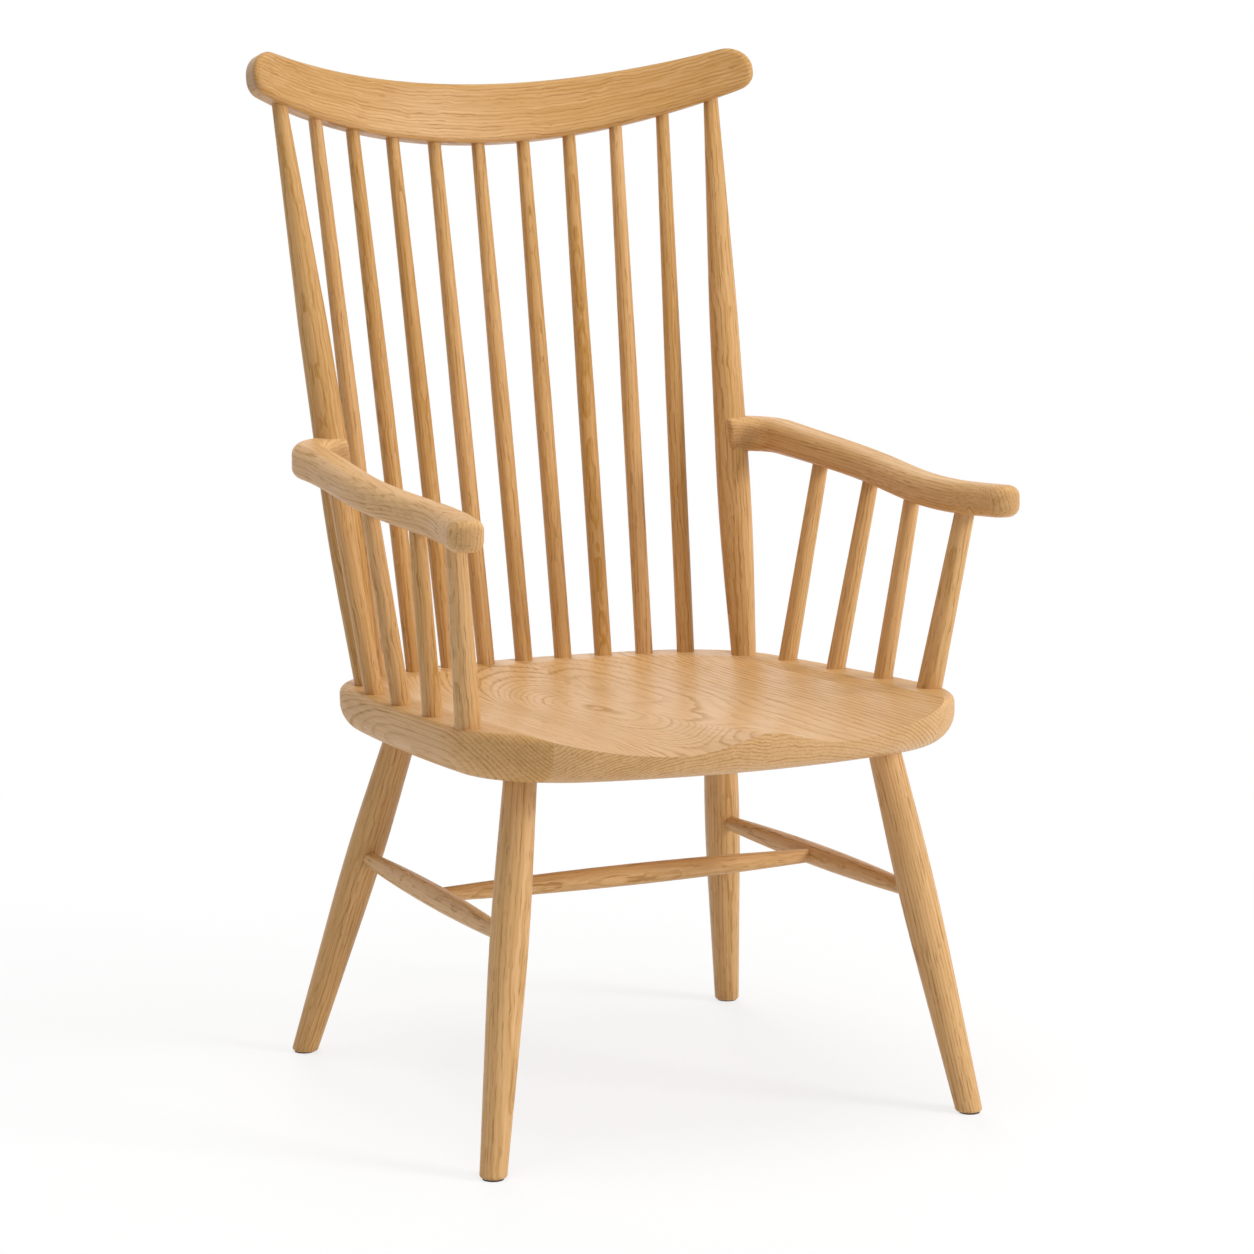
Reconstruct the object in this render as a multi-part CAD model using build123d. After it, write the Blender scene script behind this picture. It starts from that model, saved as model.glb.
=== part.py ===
from build123d import *
import math
import os
from dataclasses import dataclass, replace

# Driving dimensions, in millimetres and degrees.
# The chair faces -Y, +X is on the viewer's right and the floor is Z = 0.

# Joinery shared by all the glued joints
glue_gap = 0.1            # glue line round a tenon, on the radius
socket_end_gap = 1.0      # room for glue past the end of a tenon

# Saddle seat, shaped from four boards that are glued edge to edge
seat_height = 423.5       # rim above the floor, at the middle of the seat
seat_tilt = 2.4           # the seat falls towards the back
seat_width = 554.0
seat_depth = 599.0
seat_thickness = 50.0
seat_side_bow = 2700.0    # plan radius of the side edges
seat_front_bow = 600.0    # plan radius of the front edge
seat_back_bow = 645.0     # plan radius of the back edge
seat_widest_setback = 125.0   # widest place, behind the front edge
seat_front_corner = 140.0     # plan radii of the corners
seat_back_corner = 135.0
seat_top_round = 9.0      # rounding of the rim
seat_bottom_round = 33.0  # rounding under the edge
seat_outer_board = 65.0   # width of the two outer boards; the two middle ones share the rest

# Hollows of the saddle, below the rim
hollow_inset = 45.0       # flat rim left at the sides
hollow_back_rim = 52.0    # flat rim left at the back
hollow_depth = 20.0
hollow_start = 300.0      # the back wall starts to climb here, behind the front edge
front_fall = 8.5          # extra depth at the front edge
front_fall_length = 270.0
pommel_height = 19.0      # ridge between the thighs, at the front edge
pommel_width = 55.0

# Turned sticks
turning_ease = 2500.0     # radius where two straight cuts along a stick run into one another

# Back: nine spindles between two stiles
spindle_count = 9
spindle_rim_margin = 24.5     # spindle axes from the back edge of the seat
spindle_arc = 500.0       # plan radius of the row of spindle feet
spindle_foot_pitch = 46.2     # along that arc
spindle_diameter = 19.2
spindle_head_diameter = 14.4
spindle_taper_share = 0.5     # share of the length, from the seat, with the full diameter
stile_inset = 55.0        # stile feet from the side and the back of the seat
stile_setback = 117.5
stile_foot_diameter = 27.0
stile_swell_diameter = 38.2
stile_swell_share = 0.25      # thickest place, as a share of the length from the seat
stile_neck_diameter = 31.2
stile_neck_share = 0.62       # the taper gets steeper here
stile_head_diameter = 16.0
seat_tenon = 24.0         # depth of all the sticks in the seat's rim
back_rake = 11.8          # lean of the middle spindle

# Crest rail
crest_height = 967.0      # underside above the floor, in the middle
crest_pitch = 53.1        # spindles along the rail
crest_stile_place = 267.4     # stiles along the rail, from its middle
crest_bow = 503.0         # plan radius of the rail
crest_rise = 999.0        # radius of the underside, seen from the front
crest_middle_depth = 65.0     # height of the rail in the middle
crest_end_depth = 48.0    # height of the rail at the ends
crest_thickness = 27.0
crest_overhang = 39.0     # end of the rail past the stile
crest_top_corner = 26.0   # radii of the ends, seen from the front
crest_bottom_corner = 18.0
crest_round = 6.0         # rounding of the long edges
crest_tenon = 26.0

# Arms and the sticks under them
arm_width = 36.0
arm_depth = 32.0          # height of the arm over its sticks
arm_back_depth = 36.0     # height of the arm at the stile
arm_round = 11.5
arm_end_round = 3.0       # edges of the end that laps the stile
arm_back_height = 651.5   # middle of the arm above the floor, at the stile
arm_tail_rise = 1.5       # end behind the stile, above that
arm_tail_depth = 40.0
arm_low_height = 628.5    # at its lowest place
arm_nose_rise = 4.5       # nose above the lowest place
arm_low_setback = 130.0   # lowest place behind the nose
arm_middle_span = 570.0   # between the middle lines of the two arms, over the middle sticks
arm_post_span = 561.0     # over the front posts
arm_nose_span = 586.5     # at the noses
arm_nose_reach = 68.5     # nose in front of the post's head
arm_hook_radius = 42.0    # bend towards the stile, on the arm's middle line
arm_lip = 5.0             # wood in front of the stile
arm_lap = 10.0            # end of the arm past the stile's axis
arm_stick_inset = 19.5    # feet of the arm sticks from the widest side of the seat
arm_stick_count = 3
arm_stick_diameter = 20.0
arm_stick_head_diameter = 17.0
arm_stick_gap = 65.0      # rear arm stick in front of the stile's foot
post_setback = 140.0      # front post from the front edge of the seat
post_lean = 26.5          # post's head in front of its foot
post_diameter = 26.0
post_head_diameter = 20.5
arm_tenon = 20.0
arm_dowel_diameter = 10.0
arm_dowel_in_stile = 10.0     # reach of the dowel each way from the stile's axis
arm_dowel_in_arm = 40.0
arm_dowel_angle = 30.0    # turned forward from straight out

# Legs and the H stretcher
front_leg_inset = 75.0    # heads of the legs from the sides, front and back of the seat
front_leg_setback = 142.0
front_leg_splay_out = 65.0
front_leg_splay_forward = 75.0
back_leg_inset = 90.0
back_leg_setback = 125.0
back_leg_splay_out = 70.5
back_leg_splay_back = 114.5
leg_head_diameter = 33.0
leg_swell_diameter = 40.0
leg_foot_diameter = 25.5
leg_foot_round = 3.0
leg_tenon = 26.0
leg_tenon_tip_diameter = 25.0
stretcher_height = 225.0
stretcher_end_diameter = 15.5
side_stretcher_diameter = 23.5
cross_stretcher_diameter = 22.5
cross_stretcher_end_diameter = 14.5
stretcher_past_axis = 3.0     # tenon past the axis of the piece it enters
glide_thickness = 1.5
glide_diameter = 21.0
glide_stem_diameter = 6.0
glide_stem_length = 14.0


@dataclass
class Stick:
    """A turned stick from foot to head, with a round tenon past each end.

    stations holds the diameters along it, as (share of the length, diameter).
    cut is the kind of line that joins them.
    """

    foot: Vector
    head: Vector
    stations: list
    foot_tenon: float
    head_tenon: float
    cut: type = Polyline
    head_tip_diameter: float = None

    def length(self):
        return (self.head - self.foot).length

    def frame(self):
        return Plane(origin=self.foot, z_dir=self.head - self.foot)

    def axis_point(self, height):
        """Point of the axis at a height above the floor."""
        share = (height - self.foot.Z) / (self.head.Z - self.foot.Z)
        return self.foot + (self.head - self.foot) * share

    def diameter_at(self, height):
        """Diameter at a height above the floor, on the straight cuts between the stations."""
        share = (height - self.foot.Z) / (self.head.Z - self.foot.Z)
        for (low, low_diameter), (high, high_diameter) in zip(self.stations, self.stations[1:]):
            if low <= share <= high:
                return low_diameter + (high_diameter - low_diameter) * (share - low) / (high - low)

    def solid(self, grow=0.0, end_grow=0.0):
        """The turned solid, fatter by grow all round and longer by end_grow at both ends."""
        length = self.length()
        points = [(diameter / 2 + grow, share * length) for share, diameter in self.stations]
        foot_radius, head_radius = points[0][0], points[-1][0]
        tip_radius = head_radius
        if self.head_tip_diameter:
            tip_radius = self.head_tip_diameter / 2 + grow
        bottom = -self.foot_tenon - end_grow
        top = length + self.head_tenon + end_grow
        ends = Polyline(
            points[-1], (tip_radius, top), (0, top), (0, bottom), (foot_radius, bottom), points[0]
        )
        profile = make_face(self.cut(*points) + ends)
        return self.frame() * revolve(Plane.XZ * profile, Axis.Z)

    def socket(self):
        """The hole that both tenons need, with the glue line round them."""
        return self.solid(glue_gap, socket_end_gap)

    def mirrored(self):
        """The same stick on the other side of the chair."""
        foot = Vector(-self.foot.X, self.foot.Y, self.foot.Z)
        head = Vector(-self.head.X, self.head.Y, self.head.Z)
        return replace(self, foot=foot, head=head)


# Places worked out from the driving dimensions
half_width = seat_width / 2
front_y = -seat_depth / 2
back_y = seat_depth / 2
widest_y = front_y + seat_widest_setback
seat_plane = Plane(
    origin=(0, 0, seat_height),
    x_dir=(1, 0, 0),
    z_dir=(0, math.sin(math.radians(seat_tilt)), math.cos(math.radians(seat_tilt))),
)


def eased(*points):
    """Straight cuts along a stick that run into one another without a corner."""
    return FilletPolyline(*points, radius=turning_ease)


def on_seat(x, y, below=0.0):
    """Point of the seat's rim plane, or a distance below it."""
    return seat_plane.from_local_coords(Vector(x, y, -below))


def bow(radius, half_chord):
    """How far an arc of a radius falls away from its middle at a half chord."""
    return radius - math.sqrt(radius**2 - half_chord**2)


def side_x(y):
    """Half width of the seat at y, before the corners are rounded."""
    return half_width - bow(seat_side_bow, y - widest_y)


def spindle_foot(index):
    """Foot of a back spindle, counted from the middle one."""
    turn = index * spindle_foot_pitch / spindle_arc
    y = back_y - spindle_rim_margin - spindle_arc * (1 - math.cos(turn))
    return on_seat(spindle_arc * math.sin(turn), y)


# Crest rail: its plane leans with the middle spindle, local X across, Y up the rail, Z forward
rake = math.radians(back_rake)
up_the_back = Vector(0, math.sin(rake), math.cos(rake))
middle_foot = spindle_foot(0)
crest_middle = middle_foot + up_the_back * ((crest_height - middle_foot.Z) / math.cos(rake))
crest_plane = Plane(origin=crest_middle, x_dir=(1, 0, 0), z_dir=(0, -math.cos(rake), math.sin(rake)))


def crest_point(index):
    """Point of the rail's underside where a stick enters, counted from the middle one."""
    return crest_place(index * crest_pitch)


def crest_place(along):
    """Point of the rail's underside at a distance along the rail from its middle."""
    x = crest_bow * math.sin(along / crest_bow)
    return crest_plane.from_local_coords(Vector(x, bow(crest_rise, x), bow(crest_bow, x)))


def make_back():
    """The spindles, as sticks by name, and the right stile."""
    sticks = {}
    half_count = spindle_count // 2
    for index in range(-half_count, half_count + 1):
        sticks[f"back_spindle_{index + half_count + 1}"] = Stick(
            spindle_foot(index),
            crest_point(index),
            [(0, spindle_diameter), (spindle_taper_share, spindle_diameter), (1, spindle_head_diameter)],
            seat_tenon,
            crest_tenon,
            eased,
        )
    foot = on_seat(half_width - stile_inset, back_y - stile_setback)
    head = crest_place(crest_stile_place)
    stile = Stick(
        foot,
        head,
        [
            (0, stile_foot_diameter),
            (stile_swell_share, stile_swell_diameter),
            (stile_neck_share, stile_neck_diameter),
            (1, stile_head_diameter),
        ],
        seat_tenon,
        crest_tenon,
        eased,
    )
    return sticks, stile


def make_crest(sticks):
    """The rail: its front view cut out of a bowed plank, with rounded edges."""
    end_x = crest_bow * math.sin(crest_stile_place / crest_bow) + crest_overhang
    low_end = bow(crest_rise, end_x)
    top_end = low_end + crest_end_depth
    lower = ThreePointArc((-end_x, low_end), (0, 0), (end_x, low_end))
    upper = ThreePointArc((end_x, top_end), (0, crest_middle_depth), (-end_x, top_end))
    view = make_face(lower + Line(lower @ 1, upper @ 0) + upper + Line(upper @ 1, lower @ 0))
    view = fillet(view.vertices().sort_by(Axis.Y)[:2], crest_bottom_corner)
    view = fillet(view.vertices().sort_by(Axis.Y)[-2:], crest_top_corner)
    reach = bow(crest_bow, end_x) + crest_thickness
    board = extrude(Pos(0, 0, -crest_thickness) * view, reach + crest_thickness)
    tall = 2 * (top_end + crest_end_depth)
    ring = Cylinder(crest_bow + crest_thickness / 2, tall) - Cylinder(crest_bow - crest_thickness / 2, tall)
    rail = board & (Pos(0, 0, crest_bow) * Rot(90, 0, 0) * ring)
    rail = crest_plane * fillet(rail.edges(), crest_round)
    for stick in sticks:
        rail -= stick.socket()
    return rail


def make_seat(sticks):
    """The saddle seat in one piece, with the sockets for all its sticks."""
    centre_front = front_y + seat_front_bow
    centre_back = back_y - seat_back_bow
    outline = Pos(0, centre_front) * Circle(seat_front_bow) & Pos(0, centre_back) * Circle(seat_back_bow)
    for sign in (-1, 1):
        outline &= Pos(sign * (half_width - seat_side_bow), widest_y) * Circle(seat_side_bow)
    corners = outline.vertices().sort_by(Axis.Y)
    outline = fillet(corners[:2], seat_front_corner)
    outline = fillet(outline.vertices().sort_by(Axis.Y)[-2:], seat_back_corner)
    blank = extrude(outline, -seat_thickness)
    blank = fillet(blank.edges().group_by(Axis.Z)[0], seat_bottom_round)
    blank = fillet(blank.edges().group_by(Axis.Z)[-1], seat_top_round)
    seat = seat_plane * (blank - hollow_cutter())
    for stick in sticks:
        seat -= stick.socket()
    return seat


def hollow_floor(x, y):
    """Height of the hollow's surface over the rim plane; above zero it cuts nothing."""
    half = half_width - hollow_inset
    back_length = seat_depth - hollow_start - hollow_back_rim
    behind = max(0.0, y - (front_y + hollow_start)) / back_length
    before = max(0.0, front_y + front_fall_length - y) / front_fall_length
    depth = hollow_depth + front_fall * before**2
    ridge = pommel_height * before**2 * math.exp(-((x / pommel_width) ** 2))
    return -depth * (1 - abs(x / half) ** 3 - behind**3) + ridge


def hollow_cutter():
    """Everything above the hollow's surface, from a smooth surface through its formula."""
    steps = 24
    margin = seat_top_round
    rows = []
    for row in range(steps + 1):
        y = front_y - margin + (seat_depth + 2 * margin) * row / steps
        xs = [(half_width + margin) * (2 * column / steps - 1) for column in range(steps + 1)]
        rows.append([Vector(x, y, hollow_floor(x, y)) for x in xs])
    floor = Face.make_surface_from_array_of_points(rows)
    return extrude(floor, seat_thickness, dir=(0, 0, 1))


def split_boards(seat):
    """The four boards of the seat, cut apart at the glue lines between them."""
    boards = {}
    glue_line = half_width - seat_outer_board
    edges = [-half_width, -glue_line, 0, glue_line, half_width]
    names = ["left_outer", "left_inner", "right_inner", "right_outer"]
    tall = 2 * (seat_height + seat_thickness)
    for name, low, high in zip(names, edges, edges[1:]):
        slab = Pos((low + high) / 2, 0, 0) * Box(high - low, 2 * seat_depth, tall)
        boards[f"seat_board_{name}"] = seat & slab
    return boards


def arm_middle_line(stile):
    """Plan of the right arm's middle line, from the lap on the stile to the middle of the round nose."""
    axis = stile.axis_point(arm_back_height)
    hook_y = axis.Y - stile.diameter_at(arm_back_height) / 2 - arm_lip + arm_width / 2
    post_y = front_y + post_setback - post_lean
    lap = Line((axis.X - arm_lap, hook_y), (axis.X, hook_y))
    bend = CenterArc((axis.X, hook_y - arm_hook_radius), arm_hook_radius, 90, -90)
    nose = Vector(arm_nose_span / 2, post_y - arm_nose_reach + arm_width / 2)
    run = Spline(
        bend @ 1,
        (arm_middle_span / 2, (stile.foot.Y + post_y) / 2),
        (arm_post_span / 2, post_y),
        nose,
        tangents=[(0, -1), (nose.X - arm_post_span / 2, -arm_nose_reach)],
    )
    return lap, bend, run


def arm_profile(stile):
    """Side view of the arm: lower and upper edge, as curves in Y and Z."""
    nose_y = front_y + post_setback - post_lean - arm_nose_reach
    stile_y = stile.axis_point(arm_back_height).Y
    middle = [
        (stile_y + arm_width, arm_back_height + arm_tail_rise, arm_tail_depth),
        (stile_y - arm_width, arm_back_height, arm_back_depth),
        (nose_y + arm_low_setback, arm_low_height, arm_depth),
        (nose_y - arm_width, arm_low_height + arm_nose_rise, arm_depth),
    ]
    lower, upper = (
        Spline(*[(y, z + side * depth / 2) for y, z, depth in middle]) for side in (-1, 1)
    )
    return lower, upper


def point_at(curve, coordinate, value):
    """Point of a curve where X or Y has a value, found by halving; the coordinate runs one way."""
    low, high = 0.0, 1.0
    rising = coordinate(curve @ 1) > coordinate(curve @ 0)
    for _ in range(50):
        middle = (low + high) / 2
        if (coordinate(curve @ middle) < value) == rising:
            low = middle
        else:
            high = middle
    return curve @ low


def make_arm_sticks(stile):
    """Three spindles and a post under the right arm, as sticks by name."""
    run = arm_middle_line(stile)[2]
    lower = arm_profile(stile)[0]
    front_foot_y = front_y + post_setback
    rear_foot_y = stile.foot.Y - arm_stick_gap
    front_head_y = front_foot_y - post_lean
    sticks = {}
    for index in range(arm_stick_count + 1):
        share = index / arm_stick_count
        foot_y = front_foot_y + (rear_foot_y - front_foot_y) * share
        head_y = front_head_y + (rear_foot_y - front_head_y) * share
        foot = on_seat(side_x(foot_y) - arm_stick_inset, foot_y)
        middle = point_at(run, lambda point: point.Y, head_y)
        under = point_at(lower, lambda point: point.X, head_y)
        head = Vector(middle.X, head_y, under.Y)
        if index == 0:
            sticks["arm_post"] = Stick(
                foot, head, [(0, post_diameter), (1, post_head_diameter)], seat_tenon, arm_tenon
            )
        else:
            sticks[f"arm_spindle_{index}"] = Stick(
                foot, head, [(0, arm_stick_diameter), (1, arm_stick_head_diameter)], seat_tenon, arm_tenon
            )
    return sticks


def make_dowel(stile, grow=0.0):
    """The hidden dowel that pins an arm to its stile, or its hole."""
    axis = stile.axis_point(arm_back_height)
    turn = math.radians(-arm_dowel_angle)
    out = Vector(math.cos(turn), math.sin(turn), 0)
    length = arm_dowel_in_stile + arm_dowel_in_arm
    place = Plane(origin=axis + out * ((arm_dowel_in_arm - arm_dowel_in_stile) / 2), z_dir=out)
    end_room = socket_end_gap if grow else 0.0
    return place * Cylinder(arm_dowel_diameter / 2 + grow, length + 2 * end_room)


def make_arm(stile, sticks):
    """The right arm: sawn to its plan and its side view, rounded, then notched round the stile."""
    lap, bend, run = arm_middle_line(stile)
    path = Wire([lap.edge(), bend.edge(), run.edge()])
    tall = 4 * arm_back_height
    start = Plane(origin=path @ 0, z_dir=path % 0)
    nose = Plane(origin=path @ 1, x_dir=path % 1, z_dir=(0, 0, 1))
    half_round = Circle(arm_width / 2) & Pos(arm_width / 2, 0) * Rectangle(arm_width, 2 * arm_width)
    plank = sweep(start * Rectangle(tall, arm_width), path) + nose * extrude(half_round, tall / 2, both=True)
    lower, upper = arm_profile(stile)
    view = make_face(lower + Line(lower @ 1, upper @ 1) + upper + Line(lower @ 0, upper @ 0))
    arm = plank & extrude(Plane.YZ * view, 2 * seat_width)
    lap_edges = arm.faces().sort_by(Axis.X)[0].edges()
    arm = fillet(arm.edges() - lap_edges, arm_round)
    arm = fillet(arm.faces().sort_by(Axis.X)[0].edges(), arm_end_round)
    for stick in sticks:
        arm -= stick.socket()
    return arm - stile.solid(glue_gap) - make_dowel(stile, glue_gap)


def leg_stick(head, splay_x, splay_y):
    """A leg up to the underside of the seat, swelled for the stretcher, with spare length below the floor."""
    on_floor = Vector(head.X + splay_x, head.Y + splay_y, 0)
    foot = on_floor + (on_floor - head).normalized() * leg_foot_diameter
    swell_share = (stretcher_height - foot.Z) / (head.Z - foot.Z)
    return Stick(
        foot,
        head,
        [(0, leg_foot_diameter), (swell_share, leg_swell_diameter), (1, leg_head_diameter)],
        leg_foot_diameter,
        leg_tenon,
        eased,
        leg_tenon_tip_diameter,
    )


def make_legs():
    """The two right legs, as sticks by name."""
    front_head = on_seat(half_width - front_leg_inset, front_y + front_leg_setback, seat_thickness)
    back_head = on_seat(half_width - back_leg_inset, back_y - back_leg_setback, seat_thickness)
    return {
        "front_leg": leg_stick(front_head, front_leg_splay_out, -front_leg_splay_forward),
        "back_leg": leg_stick(back_head, back_leg_splay_out, back_leg_splay_back),
    }


def between(start, end, start_radius, end_radius, end_diameter, middle_diameter):
    """A stretcher between two axes, from skin to skin, with tenons just past the axes."""
    along = (end - start).normalized()
    return Stick(
        start + along * start_radius,
        end - along * end_radius,
        [(0, end_diameter), (0.5, middle_diameter), (1, end_diameter)],
        start_radius + stretcher_past_axis,
        end_radius + stretcher_past_axis,
        ThreePointArc,
    )


def glide_stem(leg, grow=0.0):
    """Stem of a glide, along the axis of its leg, or the hole for it."""
    end_room = socket_end_gap if grow else 0.0
    start = Plane(origin=leg.axis_point(glide_thickness / 2), z_dir=leg.head - leg.foot)
    return start * Cylinder(
        glide_stem_diameter / 2 + grow,
        glide_stem_length + end_room,
        align=(Align.CENTER, Align.CENTER, Align.MIN),
    )


def make_glide(leg):
    """The pad under a foot, with its stem."""
    middle = leg.axis_point(glide_thickness / 2)
    return Pos(middle.X, middle.Y, middle.Z) * Cylinder(glide_diameter / 2, glide_thickness) + glide_stem(leg)


def make_leg(leg, stretcher):
    """A turned leg, cut level over its glide, rounded there and bored for its stretcher."""
    block = 4 * leg_foot_diameter
    on_floor = leg.axis_point(0)
    below = Pos(on_floor.X, on_floor.Y, glide_thickness - block / 2) * Box(block, block, block)
    solid = leg.solid() - below
    solid = fillet(solid.edges().group_by(Axis.Z)[0], leg_foot_round)
    return solid - glide_stem(leg, glue_gap) - stretcher.socket()


def both_sides(sticks):
    """Right-hand sticks and their mirror images, with the side in their names."""
    pairs = {}
    for name, stick in sticks.items():
        pairs[f"{name}_right"] = stick
        pairs[f"{name}_left"] = stick.mirrored()
    return pairs


def build_chair():
    """Every piece of the chair, by name, where it stands on the floor."""
    spindles, stile = make_back()
    arm_sticks = make_arm_sticks(stile)
    legs = make_legs()
    front_leg, back_leg = legs["front_leg"], legs["back_leg"]
    side_stretcher = between(
        front_leg.axis_point(stretcher_height),
        back_leg.axis_point(stretcher_height),
        leg_swell_diameter / 2,
        leg_swell_diameter / 2,
        stretcher_end_diameter,
        side_stretcher_diameter,
    )
    middle = (side_stretcher.foot + side_stretcher.head) / 2
    cross_stretcher = between(
        Vector(-middle.X, middle.Y, middle.Z),
        middle,
        side_stretcher_diameter / 2,
        side_stretcher_diameter / 2,
        cross_stretcher_end_diameter,
        cross_stretcher_diameter,
    )
    stiles = both_sides({"back_stile": stile})
    seat_sticks = {**spindles, **stiles, **both_sides(arm_sticks), **both_sides(legs)}

    parts = split_boards(make_seat(seat_sticks.values()))
    parts["crest_rail"] = make_crest([*spindles.values(), *stiles.values()])
    for name, stick in {**spindles, **both_sides(arm_sticks)}.items():
        parts[name] = stick.solid()
    parts["cross_stretcher"] = cross_stretcher.solid()

    right_hand = {
        "arm": make_arm(stile, arm_sticks.values()),
        "arm_dowel": make_dowel(stile),
        "back_stile": stile.solid() - make_dowel(stile, glue_gap),
        "side_stretcher": side_stretcher.solid() - cross_stretcher.socket(),
    }
    for name, leg in legs.items():
        right_hand[name] = make_leg(leg, side_stretcher)
        right_hand[name.replace("leg", "foot_glide")] = make_glide(leg)
    for name, solid in right_hand.items():
        parts[f"{name}_right"] = solid
        parts[f"{name}_left"] = mirror(solid, about=Plane.YZ)
    return parts


parts = build_chair()
boxes = [part.bounding_box() for part in parts.values()]
low_y = min(box.min.Y for box in boxes)
high_y = max(box.max.Y for box in boxes)
to_origin = Pos(0, -(low_y + high_y) / 2, 0)
width = 2 * max(box.max.X for box in boxes)
height = max(box.max.Z for box in boxes)
print(f"chair {width:.1f} x {high_y - low_y:.1f} x {height:.1f} mm, moved {to_origin.position.Y:.2f} in Y")

os.makedirs("parts", exist_ok=True)
for name, part in parts.items():
    export_step(to_origin * part, f"parts/{name}.step")
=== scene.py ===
# %% [markdown]
# # A spindle back armchair in oak
# The chair comes in as a fixed frame: every stick, board and rail is already a solid in its true place.
# What is left to do here is what an oak chair needs to look real: wood that is cut from its own plank in
# each piece, a satin finish, dark pads under the feet, soft studio light and a camera.

# %% Load the chair
import math
import random

import bmesh
import bpy
import numpy as np
from mathutils import Matrix, Vector

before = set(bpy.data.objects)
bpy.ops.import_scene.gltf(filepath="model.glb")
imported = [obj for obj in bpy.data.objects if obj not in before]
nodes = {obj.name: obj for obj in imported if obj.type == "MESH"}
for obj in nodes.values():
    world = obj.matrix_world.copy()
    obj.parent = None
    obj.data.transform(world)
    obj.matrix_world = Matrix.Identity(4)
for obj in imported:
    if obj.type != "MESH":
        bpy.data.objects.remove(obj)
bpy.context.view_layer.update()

# %% [markdown]
# ## The camera
# A chair is photographed from far off with a long lens, so that its legs stay nearly parallel. The camera
# could be aimed with a constraint, but numbers are clearer: it stands to the left of the chair's front, a
# little above the crest rail, turned 26 degrees to the right and tipped down by nine.

# %% Camera
eye = (-1.7921, -3.71437, 1.1367)
turned_right = 26.0
tipped_down = 9.055
lens_mm = 115.2
sensor_mm = 36.0

camera_data = bpy.data.cameras.new("camera")
camera_data.lens = lens_mm
camera_data.sensor_width = sensor_mm
camera = bpy.data.objects.new("camera", camera_data)
camera.location = eye
camera.rotation_euler = (math.radians(90.0 - tipped_down), 0.0, math.radians(-turned_right))
bpy.context.collection.objects.link(camera)
bpy.context.scene.camera = camera
print("camera at", eye, "with a lens of", lens_mm, "mm")

# %% [markdown]
# ## Writing shaders as sums
# Wood is a sum of simple things: rings, pores, fibres, slow changes of tone. Nodes for all that could be
# laid out one by one, but then the sums drown in wiring. So a small class holds one socket, and plus,
# minus, times and divided by add the Math nodes. One method makes any other node.

# %% A socket that can be added and multiplied
class Socket:
    """One output of a shader tree. Arithmetic on it adds Math nodes."""

    def __init__(self, tree, socket=None):
        self.tree = tree
        self.socket = socket

    def make(self, kind, inputs=None, out=0, **settings):
        """Add a node: its settings first, then the values or links of its inputs. Gives one output."""
        node = self.tree.nodes.new(kind)
        for key, value in settings.items():
            setattr(node, key, value)
        for key, value in (inputs or {}).items():
            join(value, node.inputs[key])
        return Socket(self.tree, node.outputs[out])

    def math(self, operation, *others):
        """A Math node on this and, where it takes more, on other values."""
        values = dict(enumerate((self, *others)))
        return self.make("ShaderNodeMath", values, operation=operation)

    def __add__(self, other):
        return self.math("ADD", other)

    def __sub__(self, other):
        return self.math("SUBTRACT", other)

    def __mul__(self, other):
        return self.math("MULTIPLY", other)

    def __truediv__(self, other):
        return self.math("DIVIDE", other)

    def __rsub__(self, other):
        return self.make("ShaderNodeMath", {0: other, 1: self}, operation="SUBTRACT")

    def __rtruediv__(self, other):
        return self.make("ShaderNodeMath", {0: other, 1: self}, operation="DIVIDE")

    __radd__ = __add__
    __rmul__ = __mul__

    def between(self, low, high):
        """0 below low, 1 above high, and a smooth step from one to the other."""
        inputs = {"Value": self, "From Min": low, "From Max": high}
        return self.make("ShaderNodeMapRange", inputs, interpolation_type="SMOOTHSTEP")

    def moved(self, step):
        """This vector plus another one."""
        return self.make("ShaderNodeVectorMath", {0: self, 1: step}, operation="ADD")

    def noise(self, fineness, detail=2.0):
        """Noise over this vector, with its own fineness along each axis."""
        stretched = self.make("ShaderNodeVectorMath", {0: self, 1: fineness}, operation="MULTIPLY")
        return self.make("ShaderNodeTexNoise", {"Vector": stretched, "Scale": 1.0, "Detail": detail})

    def swing(self, reach):
        """Noise lies about 0.5; this makes it a push to both sides of nothing."""
        return (self - 0.5) * reach

    def mixed(self, first, second):
        """From one colour to the other, with this as the share of the second."""
        return self.make("ShaderNodeMix", {0: self, 6: first, 7: second}, out=2, data_type="RGBA")


def join(value, target):
    """Link a socket to a node's input, or set that input to a plain value."""
    if isinstance(value, Socket):
        value.tree.links.new(value.socket, target)
    else:
        target.default_value = value


print("made for a socket:", [name for name in vars(Socket) if not name.startswith("_")])

# %% [markdown]
# ## Starting and ending a material
# A new material already holds a Principled shader. It could be replaced by simpler shaders, but wood, oil
# and plastic all fit it, so it is kept and only fed. A piece from the frame may carry a plain colour, so its
# old material is taken off first.

# %% Helpers for materials
def new_material(name):
    """A material with its shader node and a first socket to start from."""
    material = bpy.data.materials.new(name)
    material.use_nodes = True
    tree = material.node_tree
    return material, tree.nodes["Principled BSDF"], Socket(tree)


def feed(shader, **inputs):
    """Set or link the shader's sockets; an underscore in a name stands for a space."""
    for key, value in inputs.items():
        join(value, shader.inputs[key.replace("_", " ")])


def dress(piece, material):
    """Give a piece this material and no other."""
    piece.data.materials.clear()
    piece.data.materials.append(material)


print("pieces to dress:", len(nodes))

# %% [markdown]
# ## Which way the grain runs
# A turner splits a stick along the grain, and a sawyer cuts boards along it too, so the grain follows the
# longest way through every piece. It could be typed in for each piece. Here it is measured: the longest
# spread of a piece's corners is its grain, and a small frame is set in its middle with Z along that grain.

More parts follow.
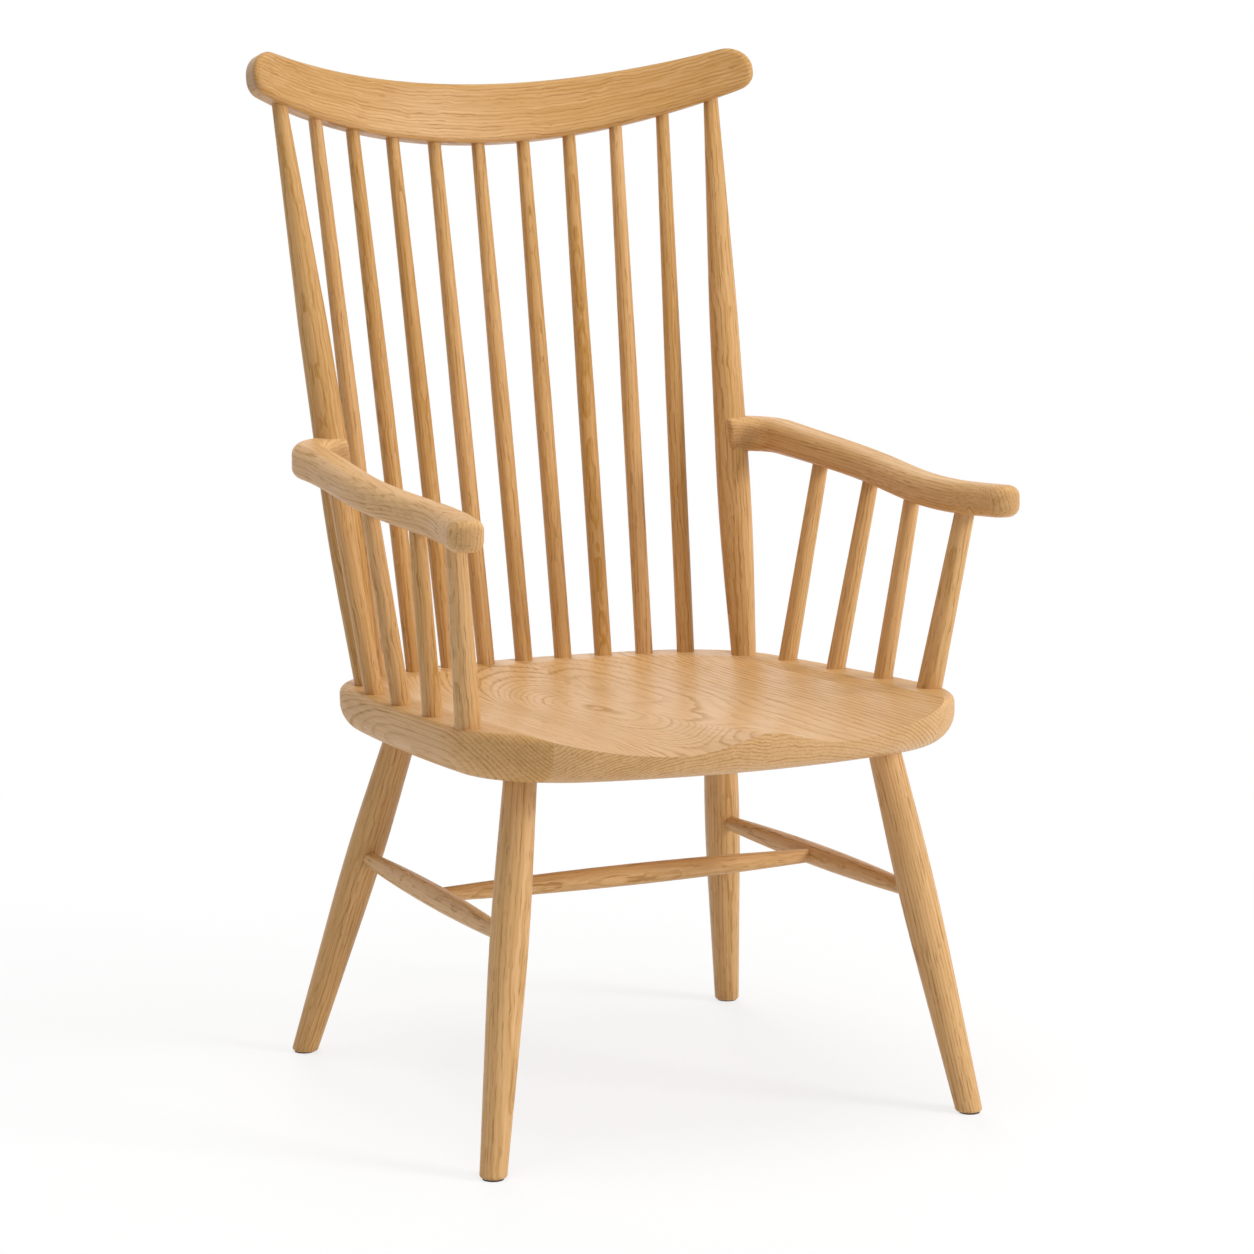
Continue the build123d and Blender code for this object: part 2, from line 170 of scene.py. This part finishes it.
# %% Measure the grain of a piece
z_axis = Vector((0.0, 0.0, 1.0))


def corners(node):
    """The corner points of a piece, one row for each."""
    flat = np.empty(len(node.data.vertices) * 3)
    node.data.vertices.foreach_get("co", flat)
    return flat.reshape(-1, 3)


def grain_frame(node):
    """Middle of the piece, and a turn with Z along the grain and Y as near to upright as it can be."""
    points = corners(node)
    middle = (points.min(0) + points.max(0)) / 2
    spread = np.linalg.svd(points - points.mean(0), full_matrices=False)[2]
    grain = Vector(spread[0])
    if max(grain, key=abs) < 0:
        grain = -grain
    across = z_axis.cross(grain)
    across.normalize()
    turn = Matrix((across, grain.cross(across), grain)).transposed()
    return Vector(middle), turn.to_euler()


print("grain of the crest rail:", grain_frame(nodes["crest_rail"]))

# %% [markdown]
# ## A place in the plank
# Every piece comes from its own plank. Its pattern could start at the chair's middle, but then pieces side
# by side would share one figure. So a point is measured from the middle of its piece, along and across the
# grain, and moved to a place of its own. A rail that was bent took its grain with it, so the bend is taken
# out first. End grain shows where a face cuts across the grain.

# %% Measures in the plank
nearest_plank, farthest_plank = 2.0, 9.0
end_starts, end_full = 0.55, 1.0


def plank_place(start, middle, turn, bend, dice):
    """Ways across, above and along the grain, and the place that they have in a plank of their own."""
    place = start.make("ShaderNodeTexCoord", out="Object")
    inputs = {"Vector": place, "Location": middle, "Rotation": turn}
    straight = start.make("ShaderNodeMapping", inputs, vector_type="TEXTURE")
    across, up, along = [start.make("ShaderNodeSeparateXYZ", {0: straight}, out=axis) for axis in range(3)]
    across = across - along * along * bend[0]
    up = up - along * along * bend[1]
    own_place = [dice.uniform(nearest_plank, farthest_plank) for _ in range(3)]
    plank = start.make("ShaderNodeCombineXYZ", {0: across, 1: up, 2: along}).moved(own_place)
    return across, up, along, plank


def end_grain(start, turn):
    """0 on faces that run along the grain, and 1 on those that cut straight across it."""
    facing = start.make("ShaderNodeTexCoord", out="Normal")
    grain = turn.to_matrix() @ z_axis
    slant = start.make("ShaderNodeVectorMath", {0: facing, 1: grain}, out="Value", operation="DOT_PRODUCT")
    return slant.math("ABSOLUTE").between(end_starts, end_full)


print("planks lie", nearest_plank, "to", farthest_plank, "metres off")

# %% [markdown]
# ## Years
# A tree adds one tube of wood round its heart each year. The years could be painted on as stripes, but then
# they would not meet at the corners. As tubes they do: long faces show lines and ovals, and end faces show
# arcs. Two things bend them: a swirl is a dome in the years, which a flat cut turns into ovals, and a twist
# brings the heart to another side at one end of the piece.

# %% Years round the heart
# Parts of a year in which its pores start and stop, how strong they are in a poor year, and what luck adds
pores_start = (0.0, 0.06)
pores_stop = (0.10, 0.50)
poor_year = 0.45
luck_adds = 0.75


def heart_distance(across, up, along, heart, twist):
    """Distance from the heart of the trunk, which lies aside near one end of a twisted piece."""
    heart_across, heart_up = heart
    if twist:
        turned = 1 - along.between(twist["near"], twist["far"])
        heart_across = turned * (twist["across"] - heart[0]) + heart[0]
        heart_up = turned * (twist["up"] - heart[1]) + heart[1]
    side = across - heart_across
    rise = up - heart_up
    return (side * side + rise * rise).math("SQRT")


def dome(across, along, swirl):
    """How far a swirl lifts the years at a point."""
    off_across = (across - swirl["across"]) / swirl["reach_across"]
    off_along = (along - swirl["along"]) / swirl["reach_along"]
    off_middle = off_across * off_across + off_along * off_along
    return (1 - off_middle.between(0.0, 1.0)) * swirl["height"]


def early_wood(start, year):
    """The band of pores that starts each year, strong in some years and weak in others."""
    season = year.math("FRACT")
    luck = start.make("ShaderNodeTexWhiteNoise", {"W": year.math("FLOOR")}, noise_dimensions="1D")
    band = season.between(*pores_start) * (1 - season.between(*pores_stop))
    return band * (poor_year + luck_adds * luck)


print("pores fill a year up to", pores_stop[1], "of its width")

# %% [markdown]
# ## Oak
# Oak is ring porous: each year starts with a band of open pores, which show as dark dashes along the grain,
# and closes with dense smooth wood. A wood picture wrapped round a chair would run over its corners, so the
# wood is a solid pattern that each piece cuts through: years, fibres, streaks, slow clouds of tone and
# pores, all stretched along the grain. End grain drinks more of the oil, so it is browner, and its years
# stand out. The pores also lie a little deep and dull in the satin finish.

# %% Colours and measures of oak
oak_light = (0.715, 0.440, 0.208, 1.0)
oak_dark = (0.425, 0.210, 0.040, 1.0)
pore_brown = (0.250, 0.105, 0.026, 1.0)
end_brown = (0.400, 0.225, 0.095, 1.0)

# How fine each pattern is across, up and along the grain, in turns per metre
slow_waver = (16.0, 16.0, 20.0)
quick_waver = (75.0, 75.0, 45.0)
trunk_sway = (7.0, 7.0, 1.8)
fibre_fineness = (560.0, 560.0, 8.0)
streak_fineness = (170.0, 170.0, 2.6)
cloud_fineness = (10.0, 10.0, 2.4)
dash_fineness = (520.0, 520.0, 30.0)

# How far the grain wavers and the trunk sways, in metres, and how much the end grain wavers
slow_reach = 0.0070
quick_reach = 0.0036
sway_reach = 0.026
end_wave = 1.5

# How dark oak is before a piece's own tone, and what each pattern adds
plain_shade = 0.34
fibre_shade = 0.90
streak_shade = 0.50
cloud_shade = 0.60
end_lines = 0.16

# Where a dash becomes a pore, and how many more there are in early wood
pore_edge = (0.62, 0.72)
early_pores = 0.10

# How rough the finish is, what gloss takes off it, what pores and clouds add, and how deep the pores lie
dullest = 0.48
gloss_smooths = 0.24
pore_rough = 0.2
cloud_rough = 0.12
fibre_height = 0.4
relief_strength = 0.12
pore_depth = 0.0005
print("oak: light", oak_light[:3], "dark", oak_dark[:3])

# %% The oak shader
def oak(node, heart, year_width, tone, seed, bend=(0, 0), wave=1.0, lines=0.3, pores=0.4, gloss=0.4,
        thirst=0.2, swirl=None, twist=None):
    """Oak for one piece.

    heart is where the trunk's middle lies across and above the piece's own middle, in metres. bend says how
    far the grain falls away, across and up, at one metre along a piece that was bent. wave is how much the
    grain wavers, lines and pores how dark the years and the dashes are, gloss how strong the finish shines,
    and thirst how brown the end grain turns. swirl and twist bend the years.
    """
    dice = random.Random(seed)
    middle, turn = grain_frame(node)
    material, shader, start = new_material("oak_" + node.name)
    across, up, along, plank = plank_place(start, middle, turn, bend, dice)
    end = end_grain(start, turn)

    waver = plank.noise(slow_waver).swing(slow_reach) + plank.noise(quick_waver).swing(quick_reach)
    drift = waver * (wave + end * (end_wave - wave))
    wavy = plank.moved(start.make("ShaderNodeCombineXYZ", {0: drift, 1: drift}))
    radius = heart_distance(across + drift, up + drift, along, heart, twist)
    radius = radius + plank.noise(trunk_sway).swing(sway_reach)
    if swirl:
        radius = radius + dome(across, along, swirl)
    early = early_wood(start, radius / year_width)

    fibre = wavy.noise(fibre_fineness)
    streak = wavy.noise(streak_fineness)
    clouds = plank.noise(cloud_fineness)
    dashes = wavy.noise(dash_fineness, detail=1.0)
    pore = (dashes + early * early_pores).between(*pore_edge)

    shade = fibre.swing(fibre_shade) + streak.swing(streak_shade) + clouds.swing(cloud_shade)
    shade = shade + early * (lines + end * end_lines) + (plain_shade + tone)
    wood = shade.math("MAXIMUM", 0.0).math("MINIMUM", 1.0).mixed(oak_light, oak_dark)
    wood = (end * thirst).mixed(wood, end_brown)
    wood = (pore * pores).mixed(wood, pore_brown)
    relief = {"Strength": relief_strength, "Distance": pore_depth, "Height": fibre * fibre_height - pore}
    bump = start.make("ShaderNodeBump", relief)
    satin = pore * pore_rough + clouds.swing(cloud_rough) + (dullest - gloss * gloss_smooths)
    feed(shader, Base_Color=wood, Roughness=satin, Normal=bump, Specular_IOR_Level=gloss)
    dress(node, material)


print("oak pieces to come:", sum("glide" not in name for name in nodes))

# %% [markdown]
# ## The seat boards
# The seat is glued up from four boards whose grain runs from front to back. One pattern over the whole seat
# would be quicker, but the joints show on the front edge, where the end grain leans another way in each
# board. So each board has its own heart. The two middle boards are flat sawn, with the heart far below them,
# and the left one has ovals in its hollow. The narrow outer boards lie nearer their heart, which is above
# them and to one side, so their end grain leans.

# %% Oak for the seat
board = {"lines": 0.52, "pores": 0.16, "wave": 0.35}
inner = board | {"year_width": 0.0036, "gloss": 0.45}
outer = board | {"year_width": 0.0034, "gloss": 0.2, "tone": -0.08}
ovals = {"across": -0.060, "along": -0.030, "reach_across": 0.090, "reach_along": 0.240, "height": -0.030}
oak(nodes["seat_board_left_inner"], heart=(-0.076, -0.250), tone=-0.12, seed=1, swirl=ovals, **inner)
oak(nodes["seat_board_right_inner"], heart=(0.076, -0.220), tone=-0.13, seed=2, **inner)
oak(nodes["seat_board_left_outer"], heart=(-0.090, 0.070), seed=3, **outer)
oak(nodes["seat_board_right_outer"], heart=(0.090, 0.070), seed=4, **outer)
print("seat boards finished:", sum("seat_board" in name for name in nodes))

# %% [markdown]
# ## The crest rail and the arms
# These are sawn from thick planks and shaped. Straight grain all through would do from far off. But the lines
# of the crest rail follow its bow, so its grain is bent, and the arms end in round noses that cut across the
# years, so the heart is twisted to the side there and small arcs show.

# %% Oak for the rail and the arms
# The rail's ends are browner than oiled end grain alone would be: its high thirst also lays painted shade on
# them, for the shadow they stand in.
rail = {"bend": (-0.87, 0.69), "lines": 0.34, "pores": 0.3, "gloss": 0.45, "thirst": 0.7}
oak(nodes["crest_rail"], heart=(0.010, -0.120), year_width=0.0040, tone=0.21, seed=5, **rail)

arm = {"year_width": 0.0036, "lines": 0.38, "pores": 0.3, "wave": 0.2, "gloss": 0.25, "thirst": 0.5}
# The left arm is painted lighter than the right one: painted light for the brighter light that falls on its
# top.
for name, sign, tone, seed in (("arm_left", -1, -0.22, 6), ("arm_right", 1, -0.12, 7)):
    nose_arcs = {"across": 0.126 * sign, "up": 0.0, "near": -0.245, "far": -0.185}
    oak(nodes[name], heart=(0.040 * sign, -0.120), tone=tone, seed=seed, twist=nose_arcs, **arm)
print("finished: the crest rail and both arms")

# %% [markdown]
# ## The turned sticks
# Legs, stretchers, stiles, posts and spindles are turned from straight-grained billets. One material for all
# would make them look printed. Each billet has its own place in the trunk, so the heart comes from a seeded
# dice, and the same sticks come out each time. The tones are listed: the back has a few pale spindles
# among darker ones, as a maker who takes the billets as they come leaves it.

# %% Tones of the sticks
# A stick takes the sum of the tones of all the words that are in its name
# The back legs are painted darker, as painted shade for the shadow under the seat, and the stretchers are
# painted lighter, as painted light that lifts the shade they stand in under the seat.
tones = {"leg": -0.14, "back_leg": 0.15, "arm_post": -0.04, "stretcher": -0.16, "stile": 0.14}
spindle_tones = (-0.06, 0.16, 0.20, 0.10, 0.06, 0.17, 0.20, -0.04, 0.13)
tones.update({"back_spindle_%d" % (place + 1): tone for place, tone in enumerate(spindle_tones)})

other_pieces = ("seat_board", "crest_rail", "arm_left", "arm_right", "glide")
sticks = sorted(name for name in nodes if not any(word in name for word in other_pieces))
print("sticks:", sticks)

# %% Oak for the sticks
heart_seed = 100
plank_seed = 200
heart_away = (0.03, 0.07)
tone_spread = 0.03
year_widths = (0.0030, 0.0044)

for number, name in enumerate(sticks):
    dice = random.Random(heart_seed + number)
    angle = dice.uniform(0.0, 2.0 * math.pi)
    away = dice.uniform(*heart_away)
    heart = (away * math.cos(angle), away * math.sin(angle))
    tone = dice.uniform(-tone_spread, tone_spread) + sum(tones[word] for word in tones if word in name)
    year_width = dice.uniform(*year_widths)
    oak(nodes[name], heart, year_width, tone, plank_seed + number, wave=0.8, gloss=0.3)
print("sticks finished:", len(sticks))

# %% [markdown]
# ## The foot glides
# A thin dark pad under each foot keeps the oak off the floor. Plain black would look like a hole, so it is
# dull moulded plastic in a very dark brown, with a faint speckle.

# %% Dark pads
speckle_fineness = (900.0, 900.0, 900.0)
pad_dark = (0.020, 0.014, 0.010, 1.0)
pad_pale = (0.045, 0.034, 0.026, 1.0)
pad_rough = 0.55
speckle_rough = 0.2

material, shader, start = new_material("glide_dark")
speckle = start.make("ShaderNodeTexCoord", out="Object").noise(speckle_fineness)
feed(shader, Base_Color=speckle.mixed(pad_dark, pad_pale), Roughness=pad_rough + speckle * speckle_rough)
glides = [name for name in nodes if "glide" in name]
for name in glides:
    dress(nodes[name], material)
print("glides finished:", len(glides))

# %% [markdown]
# ## The floor
# The ground is white with only a breath of shadow round the feet. A curved backdrop would need its bend
# hidden, so the floor is one large pale sheet. Away from the chair it passes into plain white, which only
# the camera, gloss and glass see, so the ground has no edge and no light is added to the chair.

# %% A sheet for the floor
floor_reach = 30.0

floor_mesh = bpy.data.meshes.new("floor")
sheet = bmesh.new()
bmesh.ops.create_grid(sheet, x_segments=1, y_segments=1, size=floor_reach)
sheet.to_mesh(floor_mesh)
sheet.free()
floor = bpy.data.objects.new("floor", floor_mesh)
bpy.context.collection.objects.link(floor)
print("floor", tuple(floor.dimensions))

# %% Pale near the feet and white far off
floor_bounce = (0.85, 0.85, 0.85, 1.0)
floor_pale = (0.94, 0.96, 0.98, 1.0)
white = (1.0, 1.0, 1.0, 1.0)
white_at_feet = 0.74
white_starts, white_full = 0.45, 1.7


def seen_directly(start):
    """1 for what the camera sees, also in gloss and through glass, and 0 for what only gives light."""
    kinds = ("Camera", "Glossy", "Transmission")
    rays = [start.make("ShaderNodeLightPath", out="Is %s Ray" % kind) for kind in kinds]
    return (rays[0] + rays[1] + rays[2]).math("MINIMUM", 1.0)


material, shader, start = new_material("pale_floor")
place = start.make("ShaderNodeTexCoord", out="Object")
distance = start.make("ShaderNodeVectorMath", {0: place}, out="Value", operation="LENGTH")
seen = seen_directly(start)
feed(shader, Base_Color=seen.mixed(floor_bounce, floor_pale), Roughness=0.9, Specular_IOR_Level=0.0)
glow = start.make("ShaderNodeEmission", {"Color": white, "Strength": 1.0})
far_off = distance.between(white_starts, white_full)
share = seen * (white_at_feet + (1 - white_at_feet) * far_off)
surface = Socket(material.node_tree, shader.outputs[0])
ground = start.make("ShaderNodeMixShader", {0: share, 1: surface, 2: glow})
join(ground, material.node_tree.nodes["Material Output"].inputs["Surface"])
dress(floor, material)
print("floor is white from", white_full, "metres on")

# %% [markdown]
# ## The lamps
# A small lamp would draw hard shadows. So the light is a broad soft panel on the right, in front of the
# chair, which rounds the sticks. A second panel overhead lifts the seat and the tops of the arms, and a third
# one far behind keeps the back of the chair from going dull. The panels are kept out of the reflections,
# because a satin seat seen from low behind would mirror them and turn white. A faint panel in the place of
# the first one gives the rail and the arms their sheen.

# %% Panels
def panel(name, place, aim_height, size, power, mirrored=False):
    """A square lamp that is turned to the middle of the chair, at a height."""
    lamp = bpy.data.lights.new(name, "AREA")
    lamp.shape = "SQUARE"
    lamp.size = size
    lamp.energy = power
    holder = bpy.data.objects.new(name, lamp)
    holder.location = place
    aim = Vector((0.0, 0.0, aim_height)) - Vector(place)
    holder.rotation_euler = aim.to_track_quat("-Z", "Y").to_euler()
    holder.visible_glossy = mirrored
    bpy.context.collection.objects.link(holder)


front_right = (3.3, -3.9, 2.2)
overhead = (-0.4, -0.6, 5.0)
far_behind = (1.2, 4.6, 2.4)
panel("soft_key", front_right, aim_height=0.5, size=1.5, power=118.0)
panel("soft_sheen", front_right, aim_height=0.5, size=1.5, power=52.0, mirrored=True)
panel("soft_top", overhead, aim_height=0.4, size=3.2, power=116.0)
panel("soft_back", far_behind, aim_height=0.6, size=2.4, power=80.0)

# %% [markdown]
# ## The room
# The room's even light fills the shadows. A white world at full strength would wash the chair out, so it is
# white only where the camera or a reflection sees it. As light it is weaker, and a little warm, as light is
# that comes back from walls.

# %% World
room_level = 0.36
room_tint = (1.0, 0.965, 0.915, 1.0)

world = bpy.data.worlds.new("studio")
bpy.context.scene.world = world
world.use_nodes = True
sky = world.node_tree.nodes["Background"]
seen = seen_directly(Socket(world.node_tree))
feed(sky, Strength=seen * (1 - room_level) + room_level, Color=seen.mixed(room_tint, white))
bpy.context.scene.view_settings.view_transform = "Standard"
print("room light:", room_level)

# %% [markdown]
